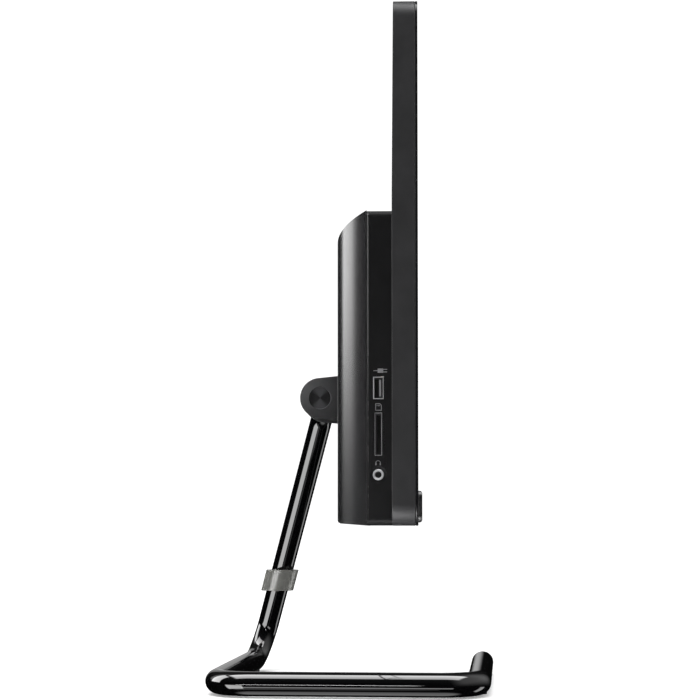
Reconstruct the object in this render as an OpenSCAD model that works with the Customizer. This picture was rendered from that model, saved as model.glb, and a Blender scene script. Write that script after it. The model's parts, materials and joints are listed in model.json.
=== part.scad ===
// All-in-one computer: display slab, rear housing, tilt hinge and bent-tube stand.
// Origin: centre of the footprint at table level. The screen faces -Y, +Z is up.

/* [Head] */
// Width of the display slab
head_w = 490; // [480:1:500]
// Height of the display slab
head_h = 295.7; // [292:0.1:299]
// Height of the slab's lower edge above the table
head_z = 105.9; // [104:0.1:108]
// Thickness of the slab
slab_t = 14.6; // [14.4:0.1:15]
// Corner radius of the slab, seen from the front
corner_r = 12; // [8:1:16]
// Wall thickness of the plastic shells
wall = 2; // [1.6:0.1:2.4]
// Thickness of the front bezel
bezel_t = 1.5; // [1.2:0.1:1.8]
// How far the screen face lies ahead of the origin
face_ahead = 40.1; // [38:0.1:43]
// Slope of the slab's back above the housing, in degrees
back_slope = 0.42; // [0:0.02:0.6]

/* [Screen] */
// Width of the visible screen
screen_w = 433; // [425:1:440]
// Height of the visible screen
screen_h = 241; // [236:1:245]
// Height of the chin below the visible screen
chin_h = 27; // [26:0.5:30]

/* [Speaker bar] */
// Distance of the bar's ends from the slab's sides
bar_inset = 11; // [8:1:15]
// Height of the bar
bar_h = 17.8; // [16:0.1:19]
// How far the bar stands out of the screen face
bar_out = 2.2; // [1.8:0.1:3]

/* [Housing] */
// Width of the rear housing
housing_w = 400; // [396:1:404]
// Height of the rear housing
housing_h = 183; // [181:0.5:185]
// Depth of the flat band that carries the ports
band_t = 15.1; // [15:0.1:16]
// Depth of the curved rear cover
cover_t = 17.8; // [17:0.1:19]
// Height of the roll-off along the cover's upper edge
roll_top = 16.5; // [14:0.5:18]
// Width of the roll-off along the cover's sides
roll_side = 24; // [20:1:28]

/* [Hinge] */
// Distance from the screen face back to the tilt axis
axis_back = 64.5; // [64:0.1:66]
// Height of the tilt axis above the table
axis_z = 190; // [188:0.5:192]
// Radius of the hinge block's nose
nose_r = 13.3; // [13:0.1:14]
// Width of the hinge block
block_w = 56; // [55:0.5:56.5]

/* [Stand] */
// Outer diameter of the tube
tube_d = 15.2; // [15:0.1:15.4]
// Wall of the tube
tube_wall = 1.8; // [1.2:0.1:2.5]
// Bend radius at the shoulder, on the tube's axis
shoulder_bend = 22.5; // [20:0.5:24]
// Bend radius of the base corners, on the tube's axis
base_bend = 24; // [22:0.5:30]
// Bend radius at the heel, on the tube's axis
heel_bend = 22; // [20:0.5:26]
// Where the leg's axis meets the tilt axis, right of centre
shoulder_x = 27.6; // [26:0.1:30]
// Where the leg meets the base, right of centre
heel_x = 99; // [95:0.5:103]
// Where the leg meets the base, behind the screen face
heel_back = 116.2; // [114:0.1:119]
// Length of the base's rear bar between its corners
rear_bar = 223.4; // [220:0.1:227]
// Length of the base's side bar between its corners
side_bar = 164.1; // [160:0.1:170]
// Length of the base's front bar from corner to free end
front_bar = 190; // [184:0.5:194]
// How far the base is turned about the vertical, in degrees
toe_angle = 2.85; // [2:0.05:4]
// Thickness of the foot pads under the tube
pad_t = 0.9; // [0.8:0.1:1.5]
// Distance of the cable clip below the shoulder, along the leg
clip_down = 138; // [120:1:150]

/* [Side ports] */
// Distance from the screen face to the middle of the ports
port_back = 23; // [22.8:0.1:23.2]
// Height of the vertical USB port
usb_z = 185.4; // [184:0.1:186]
// Height of the memory card slot
card_z = 158.7; // [158:0.1:160]
// Height of the audio jack
jack_z = 135.2; // [135:0.1:137]
// Bore radius of the audio jack
jack_r = 1.8; // [1.78:0.01:1.85]

/* [Fan] */
// Number of blades
blades = 15; // [11:2:19]
// Radius over the blades
fan_r = 28; // [25:0.5:28]

/* [Hidden] */
$fn = 48;

// Colours
shell_black = "#26262a";
gloss_black = "#101013";
board_green = "#1f5a3a";
steel_grey = "#9a9ca0";
port_metal = "#b9bbbf";
plastic_black = "#18181a";

// Levels from the front to the back
face_y = -face_ahead;
bezel_y = face_y + bezel_t;
slab_y = face_y + slab_t;
band_y = slab_y + band_t;
cover_y = band_y + cover_t;
axis_y = face_y + axis_back;
port_y = face_y + port_back;
board_y = face_y + 15.4;
board_t = 1.6;
parts_y = board_y + board_t;

// Heights and half widths
head_top = head_z + head_h;
head_mid = head_z + head_h / 2;
screen_z = head_z + chin_h + screen_h / 2;
house_top = head_z + housing_h;
house_mid = head_z + housing_h / 2;
side_x = housing_w / 2;
bar_z = head_z + 1.8 + bar_h / 2;

// Screws of the rear cover: X and Z of each
screw_in = 27.5;
screw_low = head_z + 10;
screw_high = house_top - 21;
cover_screws = [
    [-side_x + screw_in, screw_low], [side_x - screw_in, screw_low],
    [-side_x + screw_in, screw_high], [side_x - screw_in, screw_high], [0, screw_high]
];
screw_r = 1.45;

// Lock slot and camera
lock_z = head_z + 26;
camera_z = head_top - 12.5;
camera_r = 3;

// Speaker bar and its mesh
bar_w = head_w - 2 * bar_inset;
speaker_x = 140;
mesh_w = 150;
mesh_h = 9;

// Motherboard outline and its fixings
board_w = 176;
board_h = 152;
board_mid_x = -30;
board_z = head_z + 4.1;
board_mid_z = board_z + board_h / 2;
hole_low = board_z + 8;
hole_high = board_z + board_h - 5;
hole_left = board_mid_x - board_w / 2 + 5;
hole_right = board_mid_x + board_w / 2 - 5;
board_holes = [[-82, hole_low], [hole_right, hole_low], [hole_left, hole_high], [hole_right, hole_high]];

// Sockets in the lower wall: centre X, width, and depth back from parts_y
dc_spot = [-94, 9, 9];
lan_spot = [-66, 16, 11.2];
usb_spots = [[-38, 13.2, 5.8], [-20, 13.2, 5.8]];
hdmi_spot = [4, 15, 5.6];
socket_low = head_z + 0.5;

// Steel bracket behind the hinge
post_x = 48;
post_z = 35;
post_r = 4;
plate_t = 2.5;
plate_y = cover_y - wall - plate_t - 0.3;
frame_y = face_y + 7.2;
frame_t = 1.2;

// Hinge parts along the tilt axis
near_x = -45;
axle_start = near_x + 3;
ear_t = 3;
left_ear = near_x + 10;
right_ear = 4;
bush_r = 9.3;
running = 0.05;
bolt_xs = [-25, -3];
bolt_dz = 8.5;
bolt_r = 2.5;
block_up = 15.1;
block_down = 14.8;

// Corner points of the tube's axis
tube_r = tube_d / 2;
tube_z = pad_t + tube_r;
toe_x = [cos(toe_angle), -sin(toe_angle), 0];
toe_y = [sin(toe_angle), cos(toe_angle), 0];
shoulder = [shoulder_x, axis_y, axis_z];
heel = [heel_x, face_y + heel_back, tube_z];
rear_corner = heel - rear_bar * toe_x;
front_corner = rear_corner - side_bar * toe_y;
free_end = front_corner + front_bar * toe_x;
tube_path = [[axle_start, axis_y, axis_z], shoulder, heel, rear_corner, front_corner, free_end];
tube_bends = [0, shoulder_bend, heel_bend, base_bend, base_bend, 0];
leg_down = unit(heel - shoulder);

// Drive, fan and fins to the right of the motherboard
drive_x = 66;
drive_z = head_z + 8;
drive_y = face_y + 22;
drive_w = 100;
drive_h = 69.85;
fan_x = 98;
fan_w = 70;
fan_z = head_z + 88;
fan_h = 66;
fan_y = face_y + 24;
fan_t = 14;
fan_mid = [fan_x + fan_w / 2, fan_y + fan_t / 2, fan_z + fan_h / 2];
fins_z = fan_z + fan_h + 1;
pipe_y = parts_y + 6.8;
pipe_r = 2.8;
pipe_z = 189;
pipe_path = [
    [-52, pipe_y, pipe_z], [80, pipe_y, pipe_z],
    [80, pipe_y, fins_z + 7], [fan_x + fan_w, pipe_y, fins_z + 7]
];

function unit(v) = v / norm(v);
// Slope profile of the rear cover: a parabola from the band to the flat back
function roll(s) = cover_t * pow(1 - s, 2);

// A box between two corners
module box(low, high) {
    translate(low)
        cube(high - low);
}

// A flat outline drawn in X and Z, extruded back from y by depth
module upright(y, depth) {
    translate([0, y + depth, 0])
        rotate([90, 0, 0])
            linear_extrude(depth)
                children();
}

// A flat outline drawn in Y and Z, extruded across from x by width
module across(x, width) {
    translate([x, 0, 0])
        rotate([90, 0, 90])
            linear_extrude(width)
                children();
}

// A rectangle with round corners
module rounded(w, h, r) {
    square([w - 2 * r, h], center = true);
    square([w, h - 2 * r], center = true);
    for (sx = [-1, 1], sz = [-1, 1])
        translate([sx * (w / 2 - r), sz * (h / 2 - r)])
            circle(r);
}

// Round bars along X, back along Y and down along Z, from a start point
module bar_x(start, length, r) {
    translate(start)
        rotate([0, 90, 0])
            cylinder(h = length, r = r);
}

module bar_y(start, length, r) {
    translate(start)
        rotate([-90, 0, 0])
            cylinder(h = length, r = r);
}

// Places children with their own axes along x_axis, y_axis and z_axis
module framed(origin, x_axis, y_axis, z_axis) {
    multmatrix([
        [x_axis.x, y_axis.x, z_axis.x, origin.x],
        [x_axis.y, y_axis.y, z_axis.y, origin.y],
        [x_axis.z, y_axis.z, z_axis.z, origin.z]
    ])
        children();
}

// Places children on the leg: Z up along it, Y to the rear
module on_leg(down) {
    up = -leg_down;
    rear = unit([0, 1, 0] - up.y * up);
    framed(shoulder + down * leg_down, cross(rear, up), rear, up)
        children();
}

// Length that a bend takes off each of its two straights
function bend_reach(a, b, r) = r * tan(acos(a * b) / 2);
function way(path, i) = unit(path[i + 1] - path[i]);
function reach(path, bends, i) =
    bends[i] == 0 ? 0 : bend_reach(way(path, i - 1), way(path, i), bends[i]);

// A cylinder of radius r between two points
module rod(start, end, r) {
    a = unit(end - start);
    translate(start)
        rotate([0, acos(a.z), atan2(a.y, a.x)])
            cylinder(h = norm(end - start), r = r);
}

// Sweeps a round rod along straights and bends, with a fine bead at each joint
module bent(path, bends, r) {
    bead = 0.03;
    for (i = [0 : len(path) - 2]) {
        a = way(path, i);
        start = path[i] + reach(path, bends, i) * a;
        end = path[i + 1] - reach(path, bends, i + 1) * a;
        rod(start, end, r);
        if (i > 0)
            rod(start - 0.3 * a, start + 0.3 * a, r + bead);
        if (i < len(path) - 2)
            rod(end - 0.3 * a, end + 0.3 * a, r + bead);
    }
    for (i = [1 : len(path) - 2]) {
        a = way(path, i - 1);
        b = way(path, i);
        turn_axis = unit(cross(a, b));
        inward = cross(turn_axis, a);
        centre = path[i] - reach(path, bends, i) * a + bends[i] * inward;
        framed(centre, -inward, a, turn_axis)
            rotate_extrude(angle = acos(a * b))
                translate([bends[i], 0])
                    circle(r);
    }
}

module ring(r_out, r_in) {
    difference() {
        circle(r_out);
        circle(r_in);
    }
}

// ---- Display slab ----

module slab_outline(inset) {
    translate([0, head_mid])
        rounded(head_w - 2 * inset, head_h - 2 * inset, corner_r - inset);
}

module back_cover() {
    color(shell_black)
        difference() {
            upright(bezel_y, slab_t - bezel_t)
                slab_outline(0);
            upright(bezel_y - 1, slab_t - bezel_t - wall + 1)
                slab_outline(wall);
            // Opening between the slab and the rear housing
            upright(slab_y - wall - 1, wall + 2)
                translate([0, house_mid])
                    rounded(housing_w - 24, housing_h - 10, 6);
            // Slight slope of the back above the housing
            translate([-head_w / 2 - 1, slab_y, house_top + 1])
                rotate([back_slope, 0, 0])
                    cube([head_w + 2, 5, head_h]);
        }
}

module front_bezel() {
    color(gloss_black)
        difference() {
            upright(face_y, bezel_t)
                slab_outline(0);
            upright(face_y - 1, bezel_t + 2)
                translate([0, screen_z])
                    rounded(screen_w, screen_h, 0.6);
            bar_y([0, face_y - 1, camera_z], bezel_t + 2, camera_r);
            // Sound openings behind the speaker bar
            for (sx = [-1, 1])
                translate([sx * speaker_x, 0, bar_z])
                    box([-32, face_y - 1, -3], [32, bezel_y + 1, 3]);
        }
}

module display_layer(y, depth, over) {
    upright(y, depth)
        translate([0, screen_z])
            square([screen_w + 2 * over, screen_h + 2 * over], center = true);
}

module lcd_panel() {
    color("#1b2230")
        display_layer(bezel_y + 0.1, 1.3, 4);
}

module diffuser_films() {
    color("#e6e8ea")
        display_layer(bezel_y + 1.45, 0.6, 3.5);
}

module light_guide() {
    color("#d9e4ea")
        display_layer(bezel_y + 2.1, 2.5, 1);
}

module led_strip() {
    low = screen_z - screen_h / 2 - 3;
    color("#f2f0d8") {
        box([-screen_w / 2, bezel_y + 2.2, low], [screen_w / 2, bezel_y + 4.4, low + 0.8]);
        for (x = [-screen_w / 2 + 6 : 12 : screen_w / 2 - 6])
            box([x - 2, bezel_y + 2.6, low + 0.7], [x + 2, bezel_y + 4, low + 1.7]);
    }
}

module backlight_tray() {
    color(steel_grey)
        difference() {
            display_layer(bezel_y + 0.1, 5.4, 5.2);
            display_layer(bezel_y - 1, 5.7, 4.4);
        }
}

module tcon_board() {
    color(board_green)
        union() {
            box([62, bezel_y + 5.6, 232], [182, bezel_y + 6.6, 258]);
            box([64, bezel_y + 6.5, 236], [82, bezel_y + 7.8, 240]);
        }
}

module display_cable() {
    low = 241;
    high = 253;
    color("#d8c8a0")
        union() {
            box([44, parts_y + 0.1, low], [62.4, parts_y + 0.4, high]);
            box([62.1, bezel_y + 8.4, low], [62.4, parts_y + 0.4, high]);
            box([62.1, bezel_y + 8.1, low], [82, bezel_y + 8.4, high]);
            box([81.7, bezel_y + 6.7, low], [82, bezel_y + 8.4, high]);
        }
}

module mid_frame() {
    color(steel_grey)
        difference() {
            union() {
                upright(frame_y, frame_t)
                    difference() {
                        translate([0, head_mid + 8])
                            rounded(head_w - 16, head_h - 34, 6);
                        // Weight-saving windows, and one for the timing board
                        for (sx = [-1, 1])
                            translate([sx * 195, screen_z])
                                rounded(56, 170, 8);
                        translate([0, 345])
                            rounded(240, 50, 8);
                        translate([-20, 246])
                            rounded(96, 30, 6);
                        translate([122, 245])
                            rounded(136, 34, 4);
                    }
                // Flange between the speakers
                box([-90, frame_y, hole_low - 6], [60, frame_y + frame_t, head_mid - 112]);
                for (p = board_holes)
                    bar_y([p.x, frame_y + frame_t - 0.2, p.y], board_y - frame_y - frame_t + 0.2, 3);
            }
            for (p = board_holes)
                bar_y([p.x, frame_y + 2, p.y], 20, 1.25);
        }
}

// ---- Speaker bar, speakers and camera ----

module speaker_bar() {
    color(gloss_black)
        difference() {
            intersection() {
                upright(face_y - bar_out, bar_out)
                    translate([0, bar_z])
                        rounded(bar_w, bar_h, 4);
                across(-bar_w / 2, bar_w)
                    translate([face_y, bar_z])
                        rounded(2 * bar_out, bar_h, 1.6);
            }
            for (sx = [-1, 1]) {
                translate([sx * speaker_x, 0, bar_z])
                    box([-mesh_w / 2, face_y - bar_out - 1, -mesh_h / 2],
                        [mesh_w / 2, face_y - bar_out + 0.9, mesh_h / 2]);
                translate([sx * speaker_x, 0, bar_z])
                    box([-32, face_y - bar_out, -3], [32, face_y + 1, 3]);
            }
        }
}

module speaker_mesh() {
    color("#34343a")
        for (sx = [-1, 1])
            translate([sx * speaker_x, 0, bar_z])
                difference() {
                    box([-mesh_w / 2, face_y - bar_out + 0.3, -mesh_h / 2],
                        [mesh_w / 2, face_y - bar_out + 0.9, mesh_h / 2]);
                    for (i = [-14 : 14])
                        translate([i * 5, 0, 0])
                            box([-1.2, face_y - bar_out, -2.8], [1.2, face_y, 2.8]);
                }
}

module speaker(x) {
    translate([x, 0, 0])
        color(plastic_black)
            difference() {
                box([-36, bezel_y + 0.3, head_z + 3], [36, slab_y - wall - 0.3, head_z + 18]);
                box([-30, bezel_y + 0.2, bar_z - 5], [30, bezel_y + 2, bar_z + 5]);
            }
    // Cone, standing in the dish
    translate([x, 0, 0])
        color("#3a3a3c")
            upright(bezel_y + 0.8, 1.2)
                translate([0, bar_z])
                    rounded(56, 8, 3.9);
}

module speaker_left() {
    speaker(-speaker_x);
}

module speaker_right() {
    speaker(speaker_x);
}

module camera_lens() {
    color("#0a0c12")
        bar_y([0, face_y + 0.2, camera_z], 2.4, camera_r);
}

module camera_board() {
    color(board_green)
        difference() {
            union() {
                box([-35, bezel_y + 1.2, camera_z - 4.5], [35, bezel_y + 2.2, camera_z + 4.5]);
                for (sx = [-1, 1])
                    box([sx * 24 - 2, bezel_y + 0.2, camera_z - 1.5],
                        [sx * 24 + 2, bezel_y + 1.3, camera_z + 1.5]);
            }
            bar_y([0, bezel_y - 1, camera_z], 6, camera_r + 0.1);
        }
}

module antennas() {
    color(steel_grey)
        for (sx = [-1, 1])
            translate([sx * 160, 0, 0])
                difference() {
                    box([-22, slab_y - wall - 1.2, head_top - 16], [22, slab_y - wall - 0.8, head_top - 6]);
                    box([-14, slab_y - wall - 2, head_top - 12], [18, slab_y - wall, head_top - 10]);
                }
}

// ---- Rear housing ----

// A box on the motherboard's lower edge, grown by margin, from the lower wall up
module socket_block(spot, low, high, margin) {
    box([spot[0] - spot[1] / 2 - margin, parts_y + 0.1 - margin, low],
        [spot[0] + spot[1] / 2 + margin, parts_y + 0.1 + spot[2] + margin, high]);
}

module housing_frame() {
    button = [side_x, port_y, usb_z];
    color(shell_black)
        difference() {
            union() {
                upright(slab_y, band_t)
                    translate([0, house_mid])
                        difference() {
                            rounded(housing_w, housing_h, 4);
                            rounded(housing_w - 2 * wall, housing_h - 2 * wall, 4 - wall);
                        }
                // Screw bosses on webs to the nearest wall
                for (p = cover_screws) {
                    wall_z = p.y < house_mid ? head_z + 1 : house_top - 1;
                    bar_y([p.x, slab_y, p.y], band_t, 4);
                    box([p.x - 1.5, slab_y, min(wall_z, p.y)], [p.x + 1.5, band_y, max(wall_z, p.y)]);
                }
            }
            for (p = cover_screws)
                bar_y([p.x, band_y - 9, p.y], 10, screw_r);
            // Side openings: USB, card and audio
            box([-side_x - 1, port_y - 3.15, usb_z - 6.65],
                [-side_x + wall + 1, port_y + 3.15, usb_z + 6.65]);
            box([-side_x - 1, port_y - 2.1, card_z - 12.45],
                [-side_x + wall + 1, port_y + 2.1, card_z + 12.45]);
            bar_x([-side_x - 1, port_y, jack_z], wall + 2, 3.4);
            bar_x([-side_x - 1, port_y, jack_z], 1.5, 4.7);
            // Lower openings
            for (spot = concat([dc_spot, lan_spot, hdmi_spot], usb_spots))
                socket_block(spot, head_z - 1, head_z + wall + 1, 0.3);
            // Power button and lock slot
            across(button.x - wall - 1, wall + 2)
                translate([button.y, button.z])
                    rounded(5.2, 14.4, 2.5);
            across(button.x - wall - 1, wall + 2)
                translate([port_y, lock_z])
                    rounded(3.4, 7.4, 0.6);
        }
}

// The curved rear shell, shrunk by inset on every side
module cover_solid(inset) {
    top = house_top - inset;
    bottom = head_z + inset;
    back = cover_y - inset;
    front = band_y - inset;
    half_w = side_x - inset;
    steps = 12;
    intersection() {
        across(-half_w, 2 * half_w)
            polygon(concat(
                [for (i = [0 : steps]) [back - roll(i / steps), top - roll_top * i / steps]],
                [[back, bottom + 3.2], [back - 0.6, bottom + 1.9], [back - 2, bottom + 1.2], [front, bottom]]
            ));
        translate([0, 0, bottom])
            linear_extrude(top - bottom)
                polygon(concat(
                    [for (i = [0 : steps]) [-half_w + roll_side * i / steps, back - roll(i / steps)]],
                    [for (i = [steps : -1 : 0]) [half_w - roll_side * i / steps, back - roll(i / steps)]]
                ));
    }
}

module rear_cover() {
    well_r = 3.2;
    color(shell_black)
        difference() {
            union() {
                difference() {
                    cover_solid(0);
                    cover_solid(wall);
                }
                // Screw wells
                intersection() {
                    cover_solid(0);
                    for (p = cover_screws)
                        bar_y([p.x, band_y, p.y], cover_t, well_r + 1.3);
                }
            }
            for (p = cover_screws) {
                bar_y([p.x, band_y + 1.6, p.y], cover_t, well_r);
                bar_y([p.x, band_y - 1, p.y], 4, screw_r + 0.15);
            }
            // Outlet slots in the upper roll-off
            for (sx = [-1, 1], i = [0 : 11])
                translate([sx * (98 + i * 6), 0, 0])
                    box([-1.5, band_y + 8, house_top - 13], [1.5, cover_y + 1, house_top - 5]);
            // Inlet slots over the fan and low in the middle
            for (i = [0 : 13])
                translate([fan_mid.x - 39 + i * 6, 0, 0])
                    box([-1.4, cover_y - wall - 1, fan_mid.z - 20], [1.4, cover_y + 1, fan_mid.z + 16]);
            for (i = [-10 : 10])
                translate([i * 7, 0, 0])
                    box([-1.6, cover_y - wall - 1, head_z + 14], [1.6, cover_y + 1, head_z + 34]);
            for (x = bolt_xs, dz = [-bolt_dz, bolt_dz])
                bar_y([x, cover_y - wall - 1, axis_z + dz], wall + 2, bolt_r + 0.1);
        }
}

module rear_screws() {
    color(steel_grey)
        for (p = cover_screws) {
            bar_y([p.x, band_y - 8, p.y], 9.7, screw_r);
            difference() {
                bar_y([p.x, band_y + 1.6, p.y], 2, 2.8);
                for (turn = [0, 90])
                    translate([p.x, band_y + 3.6, p.y])
                        rotate([0, turn, 0])
                            cube([3.2, 1.6, 0.7], center = true);
            }
        }
}

module lock_plate() {
    color(steel_grey)
        across(side_x - wall - 1.6, 1.5)
            translate([port_y, lock_z])
                difference() {
                    square([10, 18], center = true);
                    square([3, 7], center = true);
                }
}

// ---- Tilt hinge ----

// Body of the hinge block: a round nose with tangents down to the cover
module block_prism(x, length, r, upper, lower) {
    corners = [[cover_y, axis_z + upper], [cover_y, axis_z - lower]];
    spans = [for (c = corners) norm(c - [axis_y, axis_z])];
    angles = [for (i = [0, 1])
        atan2(corners[i].y - axis_z, corners[i].x - axis_y) + (i == 0 ? -1 : 1) * acos(r / spans[i])];
    union() {
        bar_x([x, axis_y, axis_z], length, r);
        across(x, length)
            polygon([
                corners[0],
                [axis_y + r * cos(angles[0]), axis_z + r * sin(angles[0])],
                [axis_y, axis_z],
                [axis_y + r * cos(angles[1]), axis_z + r * sin(angles[1])],
                corners[1]
            ]);
    }
}

module hinge_cover() {
    reveal = 0.5;
    color(shell_black)
        difference() {
            block_prism(near_x, block_w, nose_r, block_up, block_down);
            // Hollow for the hinge
            translate([0, -0.01, 0])
                block_prism(near_x + wall, block_w - 2 * wall,
                    nose_r - wall, block_up - wall, block_down - wall);
            // Shadow line where the block meets the rear cover
            difference() {
                across(near_x - 1, block_w + 2)
                    translate([cover_y, axis_z - 30])
                        square([reveal, 60]);
                block_prism(near_x + 0.8, block_w - 1.6, nose_r - 0.8, block_up - 0.8, block_down - 0.8);
            }
            bar_x([near_x - 1, axis_y, axis_z], wall + 2, 7.5);
            // The tube leaves through the other end
            bar_x([near_x + block_w - wall - 1, axis_y, axis_z], wall + 2, tube_r + 0.4);
        }
}

module hinge_cap() {
    color("#4a4a4e")
        difference() {
            bar_x([near_x + 0.2, axis_y, axis_z], wall - 0.3, 7.5);
            bar_x([near_x - 1, axis_y, axis_z], 1.4, 6.6);
        }
    color("#58585c")
        bar_x([near_x + 0.3, axis_y, axis_z], 0.3, 6.6);
}

module hinge_bracket() {
    color(steel_grey)
        difference() {
            union() {
                upright(plate_y, plate_t)
                    translate([0, axis_z])
                        rounded(2 * post_x + 22, 2 * post_z + 20, 6);
                for (sx = [-1, 1], sz = [-1, 1])
                    bar_y([sx * post_x, frame_y + frame_t, axis_z + sz * post_z],
                        plate_y - frame_y - frame_t + 0.5, post_r);
            }
            for (x = bolt_xs, dz = [-bolt_dz, bolt_dz])
                bar_y([x, plate_y - 1, axis_z + dz], plate_t + 2, bolt_r);
        }
}

module yoke_ear(x) {
    across(x, ear_t)
        difference() {
            union() {
                translate([axis_y, axis_z])
                    circle(11.1);
                polygon([
                    [cover_y + 0.6, axis_z + 11.5], [axis_y, axis_z + 11.1],
                    [axis_y, axis_z - 11.1], [cover_y + 0.6, axis_z - 12]
                ]);
            }
            translate([axis_y, axis_z])
                circle(bush_r);
        }
}

module hinge_yoke() {
    color("#85878b")
        difference() {
            union() {
                yoke_ear(left_ear);
                yoke_ear(right_ear);
                box([left_ear, cover_y, axis_z - 12], [right_ear + ear_t, cover_y + 2.6, axis_z + 12.4]);
            }
            for (x = bolt_xs, dz = [-bolt_dz, bolt_dz])
                bar_y([x, cover_y - 1, axis_z + dz], 5, bolt_r);
        }
}

module hinge_bushes() {
    color("#b08d4a")
        for (bush = [[left_ear, left_ear + ear_t], [right_ear, right_ear - 1]])
            difference() {
                // Bush in the ear, with a flange on the ear's inner side
                union() {
                    bar_x([bush[0], axis_y, axis_z], ear_t, bush_r);
                    bar_x([bush[1], axis_y, axis_z], 1, bush_r + 1);
                }
                bar_x([bush[0] - 2, axis_y, axis_z], ear_t + 4, tube_r + running);
            }
}

module yoke_bolts() {
    color(steel_grey)
        for (x = bolt_xs, dz = [-bolt_dz, bolt_dz])
            difference() {
                union() {
                    bar_y([x, plate_y, axis_z + dz], cover_y + 2.6 - plate_y, bolt_r);
                    bar_y([x, cover_y + 2.6, axis_z + dz], 2.4, 3.4);
                }
                translate([x, cover_y + 5.1, axis_z + dz])
                    rotate([90, 0, 0])
                        cylinder(h = 1.8, r = 1.7, $fn = 6);
            }
}

// Steel sleeve pressed on the tube between the ears
module axle_sleeve() {
    color("#6f7175")
        across(left_ear + ear_t + 3, right_ear - left_ear - ear_t - 6)
            translate([axis_y, axis_z])
                ring(9.4, tube_r);
}

// Disc springs that press the sleeve against the bushes
module spring_washers() {
    color("#c0a060")
        for (x = [left_ear + ear_t + 1.2, right_ear - 2.9])
            across(x, 1.7)
                translate([axis_y, axis_z])
                    ring(10.2, tube_r);
}

// ---- Side and rear sockets ----

module usb_side_port() {
    low = [-side_x + 0.3, port_y - 2.95, usb_z - 6.4];
    high = [-side_x + 15, port_y + 2.95, usb_z + 6.4];
    color(port_metal)
        difference() {
            box(low, high);
            box(low + [-1, 0.45, 0.45], high - [1.2, 0.45, 0.45]);
        }
    color("#2a4fa0")
        box([-side_x + 1.2, port_y - 1.9, usb_z - 5], [-side_x + 14, port_y - 0.2, usb_z + 5]);
}

module card_slot() {
    low = [-side_x + 0.8, port_y - 2, card_z - 13.4];
    high = [-side_x + 27, port_y + 2, card_z + 13.4];
    color(port_metal)
        difference() {
            box([low.x + wall, low.y, low.z], high);
            box([low.x, port_y - 1.3, card_z - 12.2], high - [2, 0.7, 1.2]);
        }
    color(plastic_black)
        difference() {
            box([low.x, port_y - 2, card_z - 12.4], [low.x + wall, port_y + 2, card_z + 12.4]);
            box([low.x - 1, port_y - 1.3, card_z - 12.2], [low.x + wall + 1, port_y + 1.3, card_z + 12.2]);
        }
}

module audio_jack() {
    color(plastic_black)
        difference() {
            union() {
                bar_x([-side_x + 0.4, port_y, jack_z], wall, 3.2);
                box([-side_x + wall + 0.1, port_y - 2.9, jack_z - 3.2],
                    [-side_x + 14, port_y + 3.1, jack_z + 3.2]);
            }
            bar_x([-side_x - 1, port_y, jack_z], 13.4, jack_r);
        }
}

module side_board() {
    color(board_green)
        box([-side_x + 3, port_y - 4.2, jack_z - 6], [-side_x + 24, port_y - 3.05, usb_z + 28]);
}

module side_ribbon() {
    top = port_y - 3.05;
    color("#d8c8a0")
        union() {
            box([-side_x + 12, top + 0.05, usb_z + 15], [-125, top + 0.35, usb_z + 26]);
            box([-125.3, parts_y + 0.05, usb_z + 15], [-125, top + 0.35, usb_z + 26]);
            box([-125.3, parts_y + 0.05, usb_z + 15], [-106, parts_y + 0.35, usb_z + 26]);
        }
}

// A metal socket shell that opens downwards, with a tongue inside
module down_socket(spot, high, tongue) {
    color(port_metal)
        difference() {
            socket_block(spot, socket_low, high, 0);
            socket_block(spot, socket_low - 1, high - 1, -0.5);
        }
    color(tongue)
        box([spot[0] - spot[1] / 2 + 1.8, parts_y + spot[2] / 2 - 0.6, socket_low + 1],
            [spot[0] + spot[1] / 2 - 1.8, parts_y + spot[2] / 2 + 0.8, high - 0.5]);
}

module hdmi_port() {
    down_socket(hdmi_spot, head_z + 12, plastic_black);
}

module usb_ports() {
    for (spot = usb_spots)
        down_socket(spot, head_z + 15, plastic_black);
}

module lan_port() {
    color(port_metal)
        difference() {
            socket_block(lan_spot, socket_low, head_z + 20, 0);
            socket_block(lan_spot, socket_low - 1, head_z + 13, -1.2);
        }
}

module dc_jack() {
    color(plastic_black)
        difference() {
            socket_block(dc_spot, socket_low, head_z + 13, 0);
            translate([dc_spot[0], parts_y + 0.1 + dc_spot[2] / 2, socket_low - 1])
                cylinder(h = 10.5, r = 2.8);
        }
    color(port_metal)
        translate([dc_spot[0], parts_y + 0.1 + dc_spot[2] / 2, socket_low + 1])
            cylinder(h = 9, r = 0.8);
}

// ---- Computer ----

module motherboard() {
    color(board_green)
        difference() {
            upright(board_y, board_t)
                translate([board_mid_x, board_mid_z])
                    square([board_w, board_h], center = true);
            for (p = board_holes)
                bar_y([p.x, board_y - 1, p.y], 4, 1.6);
            for (sx = [-1, 1], sz = [-1, 1])
                bar_y([sx * post_x, board_y - 1, axis_z + sz * post_z], 4, post_r + 1);
        }
    // Coils and capacitors around the processor
    color("#3a3a3e")
        for (i = [0 : 4])
            box([-4 + i * 9, parts_y, 214], [3 + i * 9, parts_y + 4, 221]);
    color("#8c6f3c")
        for (i = [0 : 5])
            bar_y([-10 + i * 9, parts_y, 206], 6, 2.5);
}

module board_screws() {
    color(steel_grey)
        for (p = board_holes) {
            bar_y([p.x, board_y - 4, p.y], 5.6, 1.25);
            bar_y([p.x, parts_y, p.y], 1.6, 2.6);
        }
}

module cpu() {
    color("#2c5c44")
        box([-50, parts_y, 176], [-20, parts_y + 1.2, 202]);
    color("#b8bac0")
        box([-42, parts_y + 1.2, 183], [-28, parts_y + 2, 195]);
}

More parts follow.
